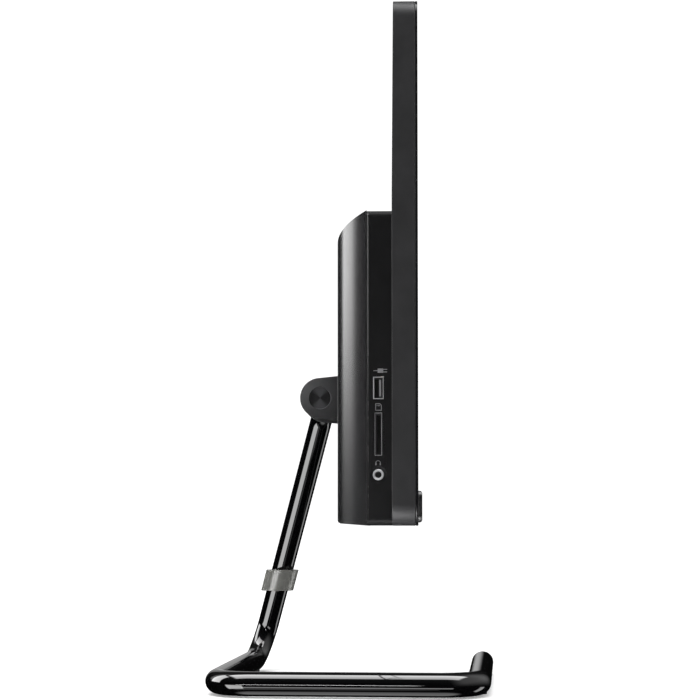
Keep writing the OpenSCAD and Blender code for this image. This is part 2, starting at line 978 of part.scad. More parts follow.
module heat_pipe() {
    color("#b5713c")
        bent(pipe_path, [0, 14, 14, 0], pipe_r);
    color("#c08050")
        difference() {
            box([-54, parts_y + 2, 172], [-16, parts_y + 6, 206]);
            bar_x([-60, pipe_y, pipe_z], 50, pipe_r);
        }
}

module heat_sink() {
    base = pipe_y + pipe_r;
    color("#a9abb0")
        union() {
            box([fan_x, base, fins_z], [fan_x + fan_w, base + 1, fins_z + 14]);
            for (i = [0 : 22])
                translate([fan_x + i * 3.1, 0, 0])
                    box([0, base + 0.9, fins_z], [0.6, base + 9, fins_z + 14]);
        }
}

module fan_housing() {
    color(plastic_black)
        difference() {
            box([fan_x, fan_y, fan_z], [fan_x + fan_w, fan_y + fan_t, fan_z + fan_h]);
            bar_y([fan_mid.x, fan_y + 1.2, fan_mid.z], fan_t - 2.4, fan_r + 3);
            bar_y([fan_mid.x, fan_mid.y, fan_mid.z], fan_t, 20);
            box([fan_x + 6, fan_y + 1.2, fan_mid.z],
                [fan_x + fan_w - 6, fan_y + fan_t - 1.2, fan_z + fan_h + 1]);
        }
    color(steel_grey)
        bar_y([fan_mid.x, fan_y + 1, fan_mid.z], fan_t - 3, 2);
}

module fan_impeller() {
    y = fan_y + 2.2;
    color("#2c2c30")
        difference() {
            union() {
                bar_y([fan_mid.x, y, fan_mid.z], 9.6, 10);
                for (i = [0 : blades - 1])
                    translate([fan_mid.x, y, fan_mid.z])
                        rotate([0, i * 360 / blades, 0])
                            translate([9, 0.4, -0.5])
                                cube([fan_r - 9, 8.6, 1]);
            }
            bar_y([fan_mid.x, y - 1, fan_mid.z], 12, 2 + running);
        }
}

module memory_socket() {
    color(plastic_black)
        box([-116, parts_y, 127], [-110, parts_y + 9.2, 196]);
}

module memory_modules() {
    color("#2a6a48")
        for (level = [1.6, 6])
            box([-110, parts_y + level, 127.7], [-80, parts_y + level + 1.1, 195.3]);
    color(plastic_black)
        for (level = [1.6, 6], i = [0 : 3])
            box([-103, parts_y + level + 1.1, 131 + i * 16], [-92, parts_y + level + 2.1, 143 + i * 16]);
}

module hard_drive() {
    color("#a6a8ac")
        box([drive_x, drive_y, drive_z], [drive_x + drive_w, drive_y + 7, drive_z + drive_h]);
    color("#d0d2d4")
        bar_y([drive_x + 38, drive_y + 7, drive_z + 35], 0.4, 26);
}

module drive_bracket() {
    y = drive_y - 1.1;
    color(steel_grey)
        union() {
            box([drive_x - 2.2, y, drive_z - 2], [drive_x + drive_w + 2.2, y + 1, drive_z + drive_h + 2]);
            for (x = [drive_x - 2.2, drive_x + drive_w + 1.2])
                box([x, y, drive_z + 4], [x + 1, y + 7, drive_z + drive_h - 4]);
            // Posts on the steel frame
            for (x = [drive_x + 6, drive_x + drive_w - 6], z = [drive_z + 22, drive_z + 60])
                bar_y([x, frame_y + frame_t, z], y - frame_y - frame_t, 3);
        }
}

module wifi_card() {
    color(board_green)
        box([-78, parts_y + 3, 232], [-56, parts_y + 3.8, 258]);
    color(port_metal)
        box([-75, parts_y + 3.8, 240], [-59, parts_y + 5.4, 254]);
    color(plastic_black)
        box([-78, parts_y, 226], [-56, parts_y + 5, 232]);
}

module coin_cell() {
    color(plastic_black)
        bar_y([-92, parts_y, 242], 1.2, 11);
    color(port_metal)
        bar_y([-92, parts_y + 1.2, 242], 3.2, 10);
}

// ---- Power button ----

module power_button() {
    color("#3a3a3e")
        union() {
            across(side_x - wall - 0.6, wall + 1.4)
                translate([port_y, usb_z])
                    rounded(4.8, 14, 2.35);
            across(side_x - wall - 1.8, 1.4)
                translate([port_y, usb_z])
                    square([7.6, 17], center = true);
        }
}

module power_switch() {
    back = side_x - wall - 1.8 - 1.2;
    color(plastic_black)
        box([back - 4, port_y - 3, usb_z - 3], [back, port_y + 3, usb_z + 3]);
    color(board_green)
        box([back - 5.2, port_y - 5, usb_z - 12], [back - 4, port_y + 5, usb_z + 12]);
}

// ---- Stand ----

module stand_tube() {
    color(gloss_black)
        difference() {
            bent(tube_path, tube_bends, tube_r);
            bent(tube_path, tube_bends, tube_r - tube_wall);
        }
}

module tube_cap() {
    dome = 4;
    dome_r = (tube_r * tube_r + dome * dome) / (2 * dome);
    color(plastic_black)
        framed(free_end, toe_y, [0, 0, 1], toe_x)
            union() {
                intersection() {
                    cylinder(h = dome, r = tube_r);
                    translate([0, 0, dome - dome_r])
                        sphere(dome_r);
                }
                translate([0, 0, -12])
                    cylinder(h = 12.5, r = tube_r - tube_wall);
            }
}

// A saddle under one of the base's bars
module foot_pad(point, along) {
    framed([point.x, point.y, 0], along, [-along.y, along.x, 0], [0, 0, 1])
        difference() {
            translate([-13, -4.6, 0])
                cube([26, 9.2, 2.4]);
            translate([-14, 0, tube_z])
                rotate([0, 90, 0])
                    cylinder(h = 28, r = tube_r);
        }
}

module foot_pads() {
    color("#151515") {
        foot_pad(heel - 48 * toe_x, toe_x);
        foot_pad(rear_corner + 48 * toe_x, toe_x);
        foot_pad(front_corner + 48 * toe_x, toe_x);
        foot_pad(free_end - 16 * toe_x, toe_x);
    }
}

module cable_clip() {
    clip_h = 15.2;
    long = 40;
    grip_r = 11.3;
    hook_r = 4.8;
    hook = [grip_r + hook_r - 0.4, 0];
    middle = shoulder + clip_down * leg_down;
    color("#8a8a80")
        intersection() {
            // Its upper and lower ends are level, though it follows the slanting leg
            translate([middle.x - long / 2, middle.y - long / 2, middle.z - clip_h / 2])
                cube([2 * long, long, clip_h]);
            on_leg(clip_down)
                translate([0, 0, -long / 2])
                    linear_extrude(long)
                        difference() {
                            union() {
                                circle(grip_r);
                                // Hook for the cables
                                translate(hook)
                                    circle(hook_r + 2);
                            }
                            circle(tube_r + running);
                            translate(hook)
                                circle(hook_r);
                            // Slit that lets the sleeve spring open
                            rotate(-130)
                                translate([-0.6, 0])
                                    square([1.2, 14]);
                            translate([hook.x, -2.4])
                                square([8, 4.8]);
                        }
        }
}

back_cover();
front_bezel();
lcd_panel();
diffuser_films();
light_guide();
led_strip();
backlight_tray();
tcon_board();
display_cable();
mid_frame();
speaker_bar();
speaker_mesh();
speaker_left();
speaker_right();
camera_lens();
camera_board();
antennas();
housing_frame();
rear_cover();
rear_screws();
lock_plate();
hinge_cover();
hinge_cap();
hinge_bracket();
hinge_yoke();
hinge_bushes();
yoke_bolts();
usb_side_port();
card_slot();
audio_jack();
side_board();
side_ribbon();
hdmi_port();
usb_ports();
lan_port();
dc_jack();
motherboard();
board_screws();
cpu();
heat_pipe();
heat_sink();
fan_housing();
fan_impeller();
memory_socket();
memory_modules();
hard_drive();
drive_bracket();
wifi_card();
coin_cell();
power_button();
power_switch();
stand_tube();
tube_cap();
foot_pads();
axle_sleeve();
spring_washers();
cable_clip();
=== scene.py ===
"""Looks of an all-in-one computer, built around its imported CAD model. Lengths are in metres."""

import json
import math

import bpy
from mathutils import Matrix, Vector


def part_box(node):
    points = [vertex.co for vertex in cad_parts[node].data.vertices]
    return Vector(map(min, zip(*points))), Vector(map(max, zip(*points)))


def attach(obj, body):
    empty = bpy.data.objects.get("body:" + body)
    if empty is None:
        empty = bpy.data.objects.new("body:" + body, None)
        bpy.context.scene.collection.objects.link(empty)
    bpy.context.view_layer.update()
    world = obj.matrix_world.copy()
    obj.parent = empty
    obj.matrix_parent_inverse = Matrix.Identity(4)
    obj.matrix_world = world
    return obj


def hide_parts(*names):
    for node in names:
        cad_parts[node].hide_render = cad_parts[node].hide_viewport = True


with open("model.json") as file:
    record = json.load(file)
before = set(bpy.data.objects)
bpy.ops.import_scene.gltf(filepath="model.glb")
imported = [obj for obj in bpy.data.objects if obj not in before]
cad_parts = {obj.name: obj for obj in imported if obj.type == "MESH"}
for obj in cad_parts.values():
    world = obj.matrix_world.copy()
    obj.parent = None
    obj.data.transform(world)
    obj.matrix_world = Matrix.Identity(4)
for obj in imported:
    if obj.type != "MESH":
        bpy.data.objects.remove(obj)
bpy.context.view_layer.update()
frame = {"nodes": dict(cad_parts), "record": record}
nodes = frame["nodes"]
scene = bpy.context.scene
MM = 0.001


# ---- Camera ----

def make_camera():
    """Looks at the object's left side from table height, turned a little to the rear and upwards."""
    yaw, pitch, roll = 0.0346033, 0.0470058, 0.0004439  # radians
    forward = Vector((math.cos(pitch) * math.cos(yaw), math.cos(pitch) * math.sin(yaw), math.sin(pitch)))
    data = bpy.data.cameras.new("camera")
    data.sensor_width = 36
    data.lens = 95.2507
    data.shift_y = 0.12
    data.clip_start, data.clip_end = 0.05, 100
    camera = bpy.data.objects.new("camera", data)
    scene.collection.objects.link(camera)
    camera.rotation_mode = "QUATERNION"
    level = forward.to_track_quat("-Z", "Y")
    camera.rotation_quaternion = level @ Matrix.Rotation(-roll, 3, "Z").to_quaternion()
    camera.location = (-1.2679374, -0.0377382, 0.1085032)
    scene.camera = camera


# ---- Light ----

class Graph:
    """A node tree with short calls for the nodes that the materials and the world share."""

    def __init__(self, tree):
        self.tree = tree
        tree.nodes.clear()

    def node(self, kind, inputs=None, **settings):
        """A new node. Inputs are sockets to link or values to set; a value of None is left alone."""
        made = self.tree.nodes.new(kind)
        for key, value in settings.items():
            setattr(made, key, value)
        for key, value in (inputs or {}).items():
            if isinstance(value, bpy.types.NodeSocket):
                self.tree.links.new(value, made.inputs[key])
            elif value is not None:
                made.inputs[key].default_value = value
        return made

    def math(self, operation, a, b=None, c=None):
        return self.node("ShaderNodeMath", {0: a, 1: b, 2: c}, operation=operation).outputs[0]

    def direction(self, way, along):
        """How far the vector way reaches along the fixed vector along."""
        return self.node("ShaderNodeVectorMath", {0: way, 1: along}, operation="DOT_PRODUCT").outputs["Value"]

    def within(self, value, centre, reach, edge):
        """1 where value is under reach - edge away from centre, 0 past reach + edge."""
        off = self.math("ABSOLUTE", self.math("SUBTRACT", value, centre) if centre else value)
        return self.spread(off, reach + edge, reach - edge)

    def generated(self):
        """The X, Y and Z outputs of the coordinates that run from 0 to 1 over the object's box."""
        place = self.node("ShaderNodeTexCoord").outputs["Generated"]
        return self.node("ShaderNodeSeparateXYZ", {0: place}).outputs

    def spread(self, value, low, high, to_low=0.0, to_high=1.0, kind="SMOOTHSTEP"):
        """Maps value from the range low..high to to_low..to_high."""
        return self.node("ShaderNodeMapRange", {0: value, 1: low, 2: high, 3: to_low, 4: to_high},
                         interpolation_type=kind).outputs[0]

    def mix(self, factor, a, b, blend="MIX"):
        made = self.node("ShaderNodeMix", {0: factor, 6: a, 7: b}, data_type="RGBA", blend_type=blend)
        return made.outputs[2]


# Light panels seen in reflections: azimuth from +X towards +Y, elevation, half width, half height,
# softness of the upright and of the level edges (all in degrees), and brightness.
PANELS = [
    (79.5, 27.3, 15, 22.5, 1.5, 1.2, 10.6),  # tall softbox behind the screen
    (60, 34, 6, 23, 5, 2, 1.2),              # its spill on the wall
    (132, -23, 21, 15, 2, 2, 9.8),           # low reflector at the rear left
    (150, -41, 25, 7, 5, 5, 1.0),            # its spill towards the table
    (-66, -30, 9, 13, 2, 2, 3.0),            # strip before the screen
    (180, -27.5, 30, 4.5, 1, 1, 4.6),        # strip on the table's near edge
    (10, 16, 12, 16, 2, 2, 0.5),             # pale wall behind
    (-90, 35, 50, 30, 20, 20, 1.0),          # soft light before the screen
]


def make_world():
    """White to the eye and to matt surfaces; dark with light panels to glossy ones."""
    world = bpy.data.worlds.new("studio")
    scene.world = world
    world.use_nodes = True
    world.cycles.sampling_method = "NONE"
    g = Graph(world.node_tree)
    way = g.node("ShaderNodeTexCoord").outputs["Generated"]
    parts = g.node("ShaderNodeSeparateXYZ", {0: way}).outputs
    rise = g.math("ARCSINE", parts[2])
    total = g.spread(rise, 0.0, 1.2, 0.004, 0.10)
    for *angles, power in PANELS:
        azimuth, elevation, half_w, half_h, soft_w, soft_h = (math.radians(angle) for angle in angles)
        across = g.direction(way, (-math.sin(azimuth), math.cos(azimuth), 0))
        ahead = g.direction(way, (math.cos(azimuth), math.sin(azimuth), 0))
        inside_w = g.within(g.math("ARCTAN2", across, ahead), 0, half_w, soft_w)
        inside_h = g.within(rise, elevation, half_h, soft_h)
        total = g.math("MULTIPLY_ADD", g.math("MULTIPLY", inside_w, inside_h), power, total)
    # Softbox overhead, a band across the zenith that leans to the left
    lean = g.math("ARCTAN2", g.math("MULTIPLY", parts[0], -1.0), parts[2])
    band = g.within(lean, math.radians(10), math.radians(21.5), math.radians(1.5))
    band = g.math("MULTIPLY", band, g.spread(lean, math.radians(-12), math.radians(32), 15.0, 8.0, "LINEAR"))
    ends = g.spread(g.math("ABSOLUTE", parts[1]), 0.62, 0.5)
    total = g.math("MULTIPLY_ADD", band, ends, total)
    # The white table straight below
    total = g.math("ADD", g.spread(rise, -1.08, -1.32, 0.0, 2.0), total)
    rays = g.node("ShaderNodeLightPath").outputs
    panels = g.node("ShaderNodeBackground", {0: (1, 1, 1, 1), 1: total})
    white = g.node("ShaderNodeBackground", {0: (1, 1, 1, 1), 1: 1.15})
    mixed = g.node("ShaderNodeMixShader",
                   {0: rays["Is Glossy Ray"], 1: white.outputs[0], 2: panels.outputs[0]})
    g.node("ShaderNodeOutputWorld", {0: mixed.outputs[0]})


def sheet(name, corners, z):
    """A flat sheet through four (x, y) corners at height z, and the graph of its own empty material."""
    mesh = bpy.data.meshes.new(name)
    mesh.from_pydata([(x, y, z) for x, y in corners], [], [(0, 1, 2, 3)])
    material = bpy.data.materials.new(name)
    material.use_nodes = True
    mesh.materials.append(material)
    made = bpy.data.objects.new(name, mesh)
    scene.collection.objects.link(made)
    return made, material, Graph(material.node_tree)


def make_stage():
    """A pale floor, its bright patch for reflections, and one large soft light for the shadows."""
    reach = 30
    floor, _, g = sheet("floor", ((-reach, -reach), (reach, -reach), (reach, reach), (-reach, reach)), 0)
    paint = g.node("ShaderNodeBsdfDiffuse", {0: (0.93, 0.93, 0.93, 1)})
    glow = g.node("ShaderNodeEmission", {0: (1, 1, 1, 1), 1: 0.18})
    both = g.node("ShaderNodeAddShader", {0: paint.outputs[0], 1: glow.outputs[0]})
    g.node("ShaderNodeOutputMaterial", {0: both.outputs[0]})
    floor.visible_glossy = False
    # The part of the bright table that the slab's lower corner mirrors, seen by glossy surfaces only
    near, far, low, high = -0.365, -0.265, -0.028, 0.2
    glow_plane, material, g = sheet("table_glow", ((near, low), (far, low), (far, high), (near, high)), 0.5 * MM)
    material.cycles.emission_sampling = "NONE"
    glow = g.node("ShaderNodeEmission", {0: (1, 1, 1, 1), 1: 34.0})
    g.node("ShaderNodeOutputMaterial", {0: glow.outputs[0]})
    for kind in ("camera", "diffuse", "transmission", "volume_scatter", "shadow"):
        setattr(glow_plane, "visible_" + kind, False)
    data = bpy.data.lights.new("overhead", "AREA")
    data.shape = "RECTANGLE"
    data.size, data.size_y = 1.6, 1.2
    data.energy = 22
    light = bpy.data.objects.new("overhead", data)
    light.location = (-0.5, 0.3, 1.7)
    aim = Vector((0, 0, 0.1))
    light.rotation_mode = "QUATERNION"
    light.rotation_quaternion = (aim - Vector(light.location)).to_track_quat("-Z", "Y")
    light.visible_glossy = False
    scene.collection.objects.link(light)


# ---- Materials ----

def finish_of(name, colour, rough, metallic=0.0, mottle=0.12, grain=1800.0, depth=0.00002, spread=0.05,
              coat=0.0, specular=0.5, stretch=(1, 1, 1), extra=None):
    """A surface with a faint mottle in its colour, an uneven gloss, and a fine grain in relief.
    extra(graph, shader, object coordinates, colour) may change it afterwards."""
    material = bpy.data.materials.new(name)
    material.use_nodes = True
    g = Graph(material.node_tree)
    place = g.node("ShaderNodeTexCoord").outputs["Object"]
    placed = g.node("ShaderNodeMapping", {0: place, 3: stretch}).outputs[0]
    cloud = g.node("ShaderNodeTexNoise", {0: placed, 2: 45.0, 3: 3.0, 4: 0.55}).outputs[0]
    fine = g.node("ShaderNodeTexNoise", {0: placed, 2: grain, 3: 2.0, 4: 0.6}).outputs[0]
    smear = g.node("ShaderNodeTexNoise", {0: placed, 2: 140.0, 3: 4.0, 4: 0.6, 8: 0.8}).outputs[0]
    dark = tuple(c * (1 - mottle) for c in colour) + (1,)
    light = tuple(min(1, c * (1 + mottle)) for c in colour) + (1,)
    base = g.mix(g.spread(cloud, 0.3, 0.7), dark, light)
    rough_map = g.spread(smear, 0.3, 0.7, max(0.0, rough - spread), min(1.0, rough + spread), "LINEAR")
    relief = g.node("ShaderNodeBump", {"Strength": 0.6, "Distance": depth, "Height": fine})
    skin = g.node("ShaderNodeBsdfPrincipled", {
        "Base Color": base, "Roughness": rough_map, "Metallic": metallic, "Normal": relief.outputs[0],
        "Coat Weight": coat, "Coat Roughness": 0.08, "Specular IOR Level": specular})
    g.node("ShaderNodeOutputMaterial", {0: skin.outputs[0]})
    if extra:
        extra(g, skin, place, base)
    return material


def turned_rings_painted_sheen(g, skin, place, base):
    """Turned disc: fine rings, a painted reflection as two paler fans above and below the centre, and a painted
    highlight along the rim on its lower, -Y side.
    """
    parts = g.generated()
    across, up = g.math("SUBTRACT", parts[1], 0.5), g.math("SUBTRACT", parts[2], 0.5)
    radius = g.math("SQRT", g.math("ADD", g.math("POWER", across, 2.0), g.math("POWER", up, 2.0)))
    # painted reflection: two paler fans above and below the centre
    painted_fan = g.spread(g.math("DIVIDE", g.math("ABSOLUTE", up), radius), 0.5, 1.0)
    rings = g.math("MULTIPLY_ADD", g.math("SINE", g.math("MULTIPLY", radius, 150.0)), 0.12, 0.88)
    turned = g.mix(g.math("MULTIPLY", painted_fan, rings), base, (0.036, 0.036, 0.038, 1))
    # painted highlight: a paler crescent on the rim towards the lower, -Y side
    towards_light = g.math("ADD", g.math("MULTIPLY", across, -0.85), g.math("MULTIPLY", up, -0.5))
    lit = g.math("DIVIDE", towards_light, radius)
    rim = g.math("MULTIPLY", g.spread(radius, 0.455, 0.468), g.spread(lit, -0.1, 0.5))
    g.tree.links.new(g.mix(rim, turned, (0.085, 0.085, 0.09, 1)), skin.inputs["Base Color"])


def hinge_painted_light_and_shade(g, skin, place, base):
    """Painted light and shade: paler towards the round nose and the top, darker towards the bottom and the root,
    and a near-black painted shadow strip where the block meets the cover.
    """
    _, depth, height = g.generated()
    # painted light and shade: paler towards the nose and the top, darker towards the root and the bottom
    pale = g.math("MULTIPLY", g.spread(depth, 0.1, 1.0, kind="LINEAR"), g.spread(height, 0.0, 0.7, 0.35, 1.0))
    painted_light_shade = g.mix(pale, (0.0050, 0.0050, 0.0053, 1), (0.076, 0.076, 0.078, 1))
    # painted shadow: a near-black strip at the root, next to the cover
    shaded = g.mix(g.spread(depth, 0.03, 0.055), (0.001, 0.001, 0.001, 1), painted_light_shade)
    g.tree.links.new(g.mix(0.2, shaded, base), skin.inputs["Base Color"])


def board_traces(g, skin, place, base):
    """Fine copper traces under the green mask."""
    cells = g.node("ShaderNodeTexVoronoi", {0: place, 2: 260.0}, distance="MANHATTAN", feature="DISTANCE_TO_EDGE")
    lines = g.spread(cells.outputs[0], 0.02, 0.07, 1.0, 0.0)
    g.tree.links.new(g.mix(g.math("MULTIPLY", lines, 0.55), base, (0.09, 0.22, 0.07, 1)),
                     skin.inputs["Base Color"])


def ribbon_lines(g, skin, place, base):
    """Parallel conductors in the flat cable."""
    wave = g.node("ShaderNodeTexWave", {0: place, 1: 180.0, 2: 0.0}, bands_direction="Z")
    g.tree.links.new(g.mix(g.math("MULTIPLY", wave.outputs[1], 0.5), base, (0.25, 0.25, 0.27, 1)),
                     skin.inputs["Base Color"])


def smoky(g, skin, place, base):
    """Translucent grey plastic: part of the light goes through."""
    skin.inputs["Transmission Weight"].default_value = 0.55
    skin.inputs["IOR"].default_value = 1.46


FINISHES = {
    "shell": finish_of("shell_satin", (0.0165, 0.0165, 0.0172), 0.42, depth=0.00003, grain=1500, specular=0.12),
    "band": finish_of("band_matt", (0.0064, 0.0064, 0.0067), 0.50, depth=0.00002, grain=1500, specular=0.05),
    "cover_shell": finish_of("cover_semi_gloss", (0.0046, 0.0046, 0.0050), 0.23, mottle=0.05, spread=0.01,
                             depth=0.0000005, grain=1400),
    # hinge block: its extra paints light on the nose and shade at the root
    "block": finish_of("hinge_satin_painted_shade", (0.016, 0.016, 0.017), 0.42, depth=0.00002, grain=1500, specular=0.2,
                       extra=hinge_painted_light_and_shade),
    "bezel_gloss": finish_of("bezel_black_gloss", (0.004, 0.004, 0.0045), 0.20, spread=0.02, depth=0.000002,
                             grain=300, specular=0.12),
    "tube_gloss": finish_of("tube_black_gloss", (0.0012, 0.0012, 0.0014), 0.045, spread=0.015, depth=0.0000015,
                            grain=160),
    "screen": finish_of("screen_glass", (0.003, 0.0035, 0.0045), 0.09, spread=0.02, depth=0.000001, grain=400,
                        coat=0.6),
    "film": finish_of("optical_film", (0.75, 0.76, 0.78), 0.35, mottle=0.04),
    "mesh": finish_of("speaker_grille", (0.03, 0.03, 0.032), 0.5, metallic=0.4),
    "cap": finish_of("button_plastic", (0.03, 0.03, 0.032), 0.4),
    "rubber": finish_of("pad_rubber", (0.012, 0.012, 0.012), 0.8, depth=0.00005, grain=2500),
    "clip": finish_of("clip_smoke", (0.21, 0.21, 0.195), 0.24, mottle=0.06, spread=0.04, depth=0.00001,
                      grain=500, extra=smoky),
    # turned cap with painted reflection fans and a painted rim highlight
    "spun_cap": finish_of("cap_turned_painted_sheen", (0.0032, 0.0032, 0.0034), 0.45, grain=900, depth=0.000005, specular=0.12,
                          extra=turned_rings_painted_sheen),
    "bronze": finish_of("bush_bronze", (0.42, 0.28, 0.12), 0.38, metallic=1.0),
    "copper": finish_of("pipe_copper", (0.62, 0.30, 0.17), 0.32, metallic=1.0, mottle=0.2),
    "fins": finish_of("fin_aluminium", (0.62, 0.63, 0.65), 0.35, metallic=1.0),
    "board": finish_of("board_mask", (0.012, 0.075, 0.035), 0.35, extra=board_traces),
    "chip": finish_of("chip_lid", (0.45, 0.46, 0.48), 0.34, metallic=0.9),
    "ribbon": finish_of("ribbon_film", (0.55, 0.47, 0.30), 0.45, extra=ribbon_lines),
    "dark_plastic": finish_of("black_plastic", (0.014, 0.014, 0.015), 0.5),
    "port_metal": finish_of("port_tin", (0.52, 0.52, 0.54), 0.3, metallic=1.0, stretch=(1, 1, 0.2)),
    "steel": finish_of("zinc_steel", (0.42, 0.43, 0.45), 0.36, metallic=1.0, mottle=0.15),
    "mark": finish_of("mark_grey", (0.13, 0.13, 0.135), 0.5),
    "nickel": finish_of("rim_nickel", (0.36, 0.36, 0.37), 0.35, metallic=0.25),
    # near black for the side sockets: painted shade in their depth, in place of the USB shell's metal colour
    "port_dark": finish_of("port_shade", (0.005, 0.005, 0.005), 0.6, specular=0.05),
    "lip": finish_of("seam_lip_grey", (0.026, 0.026, 0.027), 0.25, depth=0.000001),
    "seam": finish_of("seam_shadow", (0.001, 0.001, 0.001), 0.7, specular=0.1),
    "bar": finish_of("bar_satin", (0.009, 0.009, 0.0095), 0.34, specular=0.35),
}
# Nodes whose look differs from their slot's
NODE_FINISH = {
    "housing_frame": "band", "hinge_cover": "block", "rear_screws": "chip", "power_button": "cap",
    # the side sockets take the painted shade
    "usb_side_port": "port_dark", "card_slot": "port_dark", "audio_jack": "port_dark", "speaker_bar": "bar",
    "lock_plate": "dark_plastic",
}


# ---- CAD nodes: materials and softened edges ----

def soften(obj, width, segments=2, clamp=True, angle=30):
    """Merged facets, small rounds on the sharp edges, and normals that keep flat faces flat."""
    mesh = obj.data
    if "custom_normal" in mesh.attributes:
        mesh.attributes.remove(mesh.attributes["custom_normal"])
    mesh.polygons.foreach_set("use_smooth", [True] * len(mesh.polygons))
    weld = obj.modifiers.new("weld", "WELD")
    weld.merge_threshold = 0.000004
    if width > 0:
        bevel = obj.modifiers.new("edges", "BEVEL")
        bevel.width = width
        bevel.segments = segments
        bevel.limit_method = "ANGLE"
        bevel.angle_limit = math.radians(angle)
        bevel.use_clamp_overlap = clamp
        bevel.miter_outer = "MITER_ARC"
    normals = obj.modifiers.new("normals", "WEIGHTED_NORMAL")
    normals.keep_sharp = True
    normals.weight = 50


# The cover's rolled edges: the normal's axis (X at the sides, Z at the top) and the roll's width
ROLLS = ((0, 24 * MM), (2, 16.5 * MM))


def smooth_roll(obj):
    """Exact normals for the cover's rolled top and sides, whose facets follow a parabola."""
    low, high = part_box("rear_cover")
    deep = high.y - low.y
    mesh = obj.data
    normals = [Vector(n.vector) for n in mesh.corner_normals]
    for face in mesh.polygons:
        for axis, width in ROLLS:
            n = face.normal
            rolled = n.y > 0.3 and abs(n[axis]) > 0.04 and abs(n[2 - axis]) < 0.01
            if not rolled or (axis == 2 and n.z < 0):
                continue
            for corner in face.loop_indices:
                at = mesh.vertices[mesh.loops[corner].vertex_index].co
                inward = high.x - abs(at.x) if axis == 0 else high.z - at.z
                share = min(1, max(0, inward / width))
                normal = Vector((0, 1, 0))
                normal[axis] = math.copysign(2 * deep * (1 - share) / width, n[axis])
                normals[corner] = normal.normalized()
    mesh.polygons.foreach_set("use_smooth", [True] * len(mesh.polygons))
    mesh.normals_split_custom_set(normals)


# Width, segments, clamp and least angle of the rounds on the larger parts' edges, and on all others
EDGES = {
    "back_cover": (0.5 * MM, 3, False, 30), "front_bezel": (0.3 * MM, 2, False, 30),
    "housing_frame": (0.3 * MM, 2, False, 50), "speaker_bar": (0.3 * MM, 2, False, 40),
    "cable_clip": (0.3 * MM, 2, False, 50), "power_button": (0.3 * MM, 2, False, 50),
}
SMALL_EDGE = (0.12 * MM, 1, True, 30)
# The nodes seen in reflections. The head is left out, so that the tube mirrors the light panels unbroken.
STAND = ("stand_tube", "tube_cap", "foot_pads", "cable_clip")


def dress_nodes():
    """Gives every CAD node its finish, its rounded edges and its place in reflections."""
    slots = {}
    for part in frame["record"]["materials"]:
        for name in part.get("nodes", []):
            slots[name] = part["slot"]
    for name, obj in nodes.items():
        slot = slots.get(name)
        if not slot and obj.material_slots:
            slot = obj.material_slots[0].material.name.split(".")[0]
        finish = NODE_FINISH.get(name, slot if slot in FINISHES else "shell")
        obj.data.materials.clear()
        obj.data.materials.append(FINISHES[finish])
        obj.visible_glossy = name in STAND
        if name == "rear_cover":
            smooth_roll(obj)
        elif name != "hinge_cover":  # rounds would leave specks on its fine facets
            soften(obj, *EDGES.get(name, SMALL_EDGE))


# ---- Pieces made here ----

def add_piece(name, mesh, finish, body, replaced=()):
    """Puts a mesh into the scene with its finish, on its body, in place of any CAD nodes named."""
    obj = bpy.data.objects.new(name, mesh)
    scene.collection.objects.link(obj)
    mesh.materials.append(FINISHES[finish])
    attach(obj, body)
    if replaced:
        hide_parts(*replaced)


def mesh_of(name, points, faces, smooth=True, sharp=35):
    """A clean mesh. A smooth one keeps edges sharper than the angle sharp, in degrees."""
    mesh = bpy.data.meshes.new(name)
    mesh.from_pydata([tuple(p) for p in points], [], faces)
    mesh.polygons.foreach_set("use_smooth", [smooth] * len(mesh.polygons))
    if smooth:
        mesh.set_sharp_from_angle(angle=math.radians(sharp))
    mesh.validate()
    mesh.update()
    return mesh


def bent_line(corners, bends):
    """The tube's centre line and its direction at each point: straights joined by round bends."""
    line = [(corners[0], (corners[1] - corners[0]).normalized())]
    for i in range(1, len(corners) - 1):
        a = (corners[i] - corners[i - 1]).normalized()
        b = (corners[i + 1] - corners[i]).normalized()
        turn = a.angle(b)
        axis = a.cross(b).normalized()
        start = corners[i] - bends[i] * math.tan(turn / 2) * a
        centre = start + bends[i] * axis.cross(a)
        steps = max(6, math.ceil(math.degrees(turn) / 3))
        for k in range(steps + 1):
            spin = Matrix.Rotation(turn * k / steps, 3, axis)
            line.append((centre + spin @ (start - centre), spin @ a))
    line.append((corners[-1], (corners[-1] - corners[-2]).normalized()))
    return line


def tube_mesh(name, line, outer, inner, sides=56):
    """A hollow tube round a centre line, closed at both ends by flat rings."""
    side = line[0][1].orthogonal().normalized()
    points, faces = [], []
    for radius in (outer, inner):
        across, last = side, line[0][1]
        for point, ahead in line:
            across = (last.rotation_difference(ahead) @ across).normalized()
            last = ahead
            up = ahead.cross(across)
            for k in range(sides):
                angle = 2 * math.pi * k / sides
                points.append(point + radius * (math.cos(angle) * across + math.sin(angle) * up))
    rings = len(line)
    for shell in range(2):
        first = shell * rings * sides
        for i in range(rings - 1):
            for k in range(sides):
                n = (k + 1) % sides
                quad = (first + i * sides + k, first + i * sides + n,
                        first + (i + 1) * sides + n, first + (i + 1) * sides + k)
                faces.append(quad if shell == 0 else quad[::-1])
    for i in (0, rings - 1):
        for k in range(sides):
            n = (k + 1) % sides
            a, b = i * sides, (rings + i) * sides
            quad = (a + k, b + k, b + n, a + n)
            faces.append(quad if i == 0 else quad[::-1])
    return mesh_of(name, points, faces)


